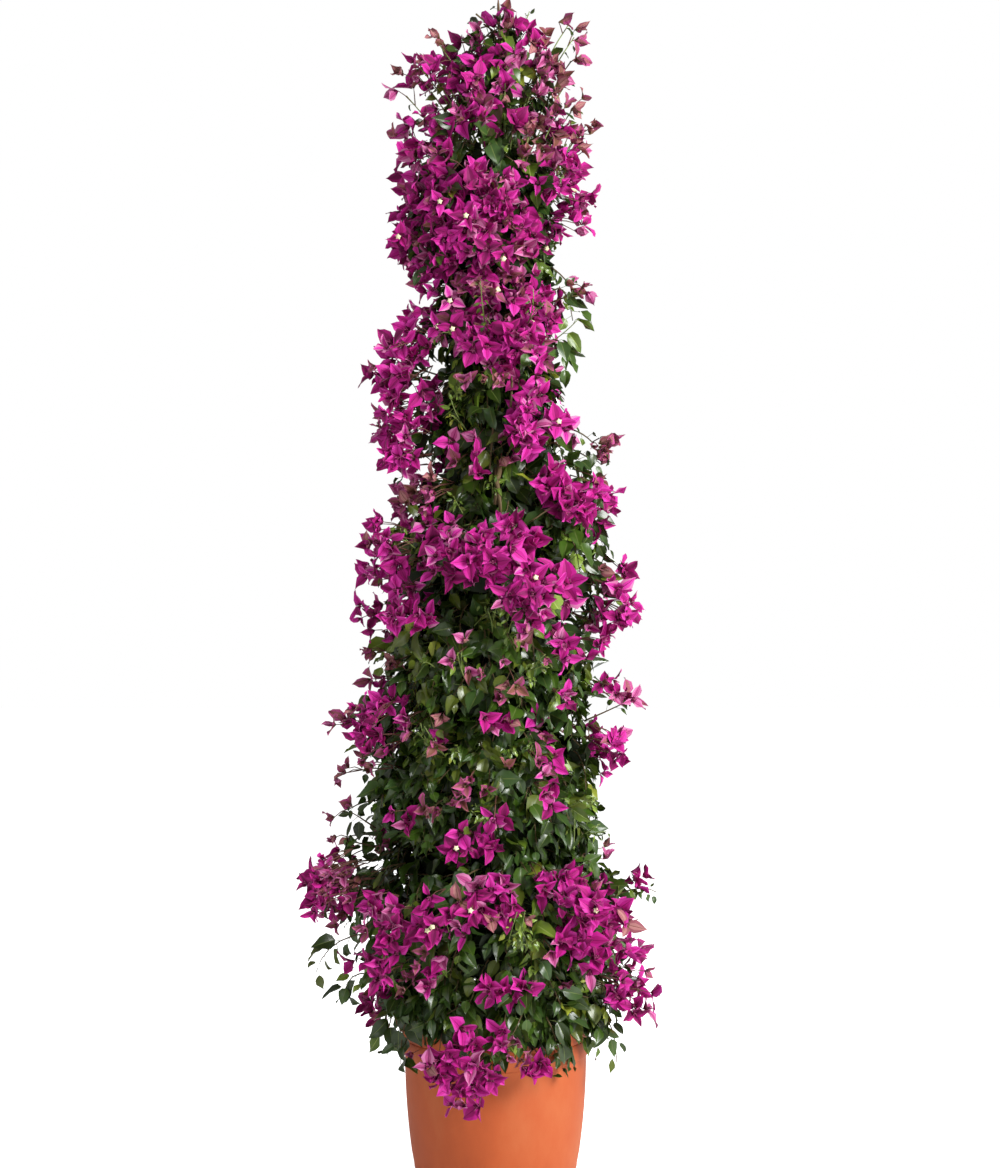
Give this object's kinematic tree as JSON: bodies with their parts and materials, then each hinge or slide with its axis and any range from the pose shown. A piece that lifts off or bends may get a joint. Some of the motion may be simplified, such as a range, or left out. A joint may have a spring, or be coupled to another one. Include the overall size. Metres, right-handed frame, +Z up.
{
  "type": "bougainvillea bush",
  "caption": "Tall column of climbing bougainvillea with magenta bloom over dark leaves, growing in a round terracotta-coloured plastic pot.",
  "frame": {"origin": "middle of the flat underside of the pot, on the surface that it stands on", "axes": "+Z up the stem, -Y towards the front, +X to the right seen from the front"},
  "size_m": [0.576, 0.4967, 1.8801],
  "materials": {
    "pot_plastic": "smooth moulded plastic, terracotta colour, soft sheen",
    "compost": "moist potting compost with bark chips",
    "bark": "thin ridged brown bark",
    "leaves": "glossy dark green leaves with lighter midribs",
    "bloom": "papery magenta bracts, dusty pink where young or old"
  },
  "bodies": {
    "root": {"bloom_back_breast": "bloom", "bloom_back_low": "bloom", "bloom_back_neck": "bloom", "bloom_back_waist": "bloom", "bloom_breast": "bloom", "bloom_chest": "bloom", "bloom_hanging": "bloom", "bloom_heart": "bloom", "bloom_hip_left": "bloom", "bloom_hip_right": "bloom", "bloom_knee_right": "bloom", "bloom_left_spray": "bloom", "bloom_left_tail": "bloom", "bloom_low_front": "bloom", "bloom_low_left": "bloom", "bloom_low_right": "bloom", "bloom_outer_left": "bloom", "bloom_outer_right": "bloom", "bloom_shoulder": "bloom", "bloom_top": "bloom", "bloom_top_left": "bloom", "bloom_top_right": "bloom", "bloom_upper_front": "bloom", "bloom_upper_right": "bloom", "bloom_waist_front": "bloom", "bloom_waist_left": "bloom", "bloom_waist_right": "bloom", "bough_hip_left": "bark", "bough_knee_right": "bark", "bough_left_spray": "bark", "bough_low_right": "bark", "bough_outer_left": "bark", "bough_outer_right": "bark", "bough_waist_left": "bark", "leaf_chest_a": "leaves", "leaf_chest_b": "leaves", "leaf_head_a": "leaves", "leaf_hip_a": "leaves", "leaf_hip_b": "leaves", "leaf_hip_c": "leaves", "leaf_knee_a": "leaves", "leaf_knee_b": "leaves", "leaf_knee_c": "leaves", "leaf_low_a": "leaves", "leaf_low_b": "leaves", "leaf_low_c": "leaves", "leaf_neck_a": "leaves", "leaf_neck_b": "leaves", "leaf_shoulder_a": "leaves", "leaf_shoulder_b": "leaves", "leaf_skirt_back": "leaves", "leaf_skirt_front": "leaves", "leaf_skirt_left": "leaves", "leaf_skirt_right": "leaves", "leaf_waist_a": "leaves", "leaf_waist_b": "leaves", "leaf_waist_c": "leaves", "main_stem": "bark", "pot": "pot_plastic", "soil": "compost"}
  },
  "joints": []
}
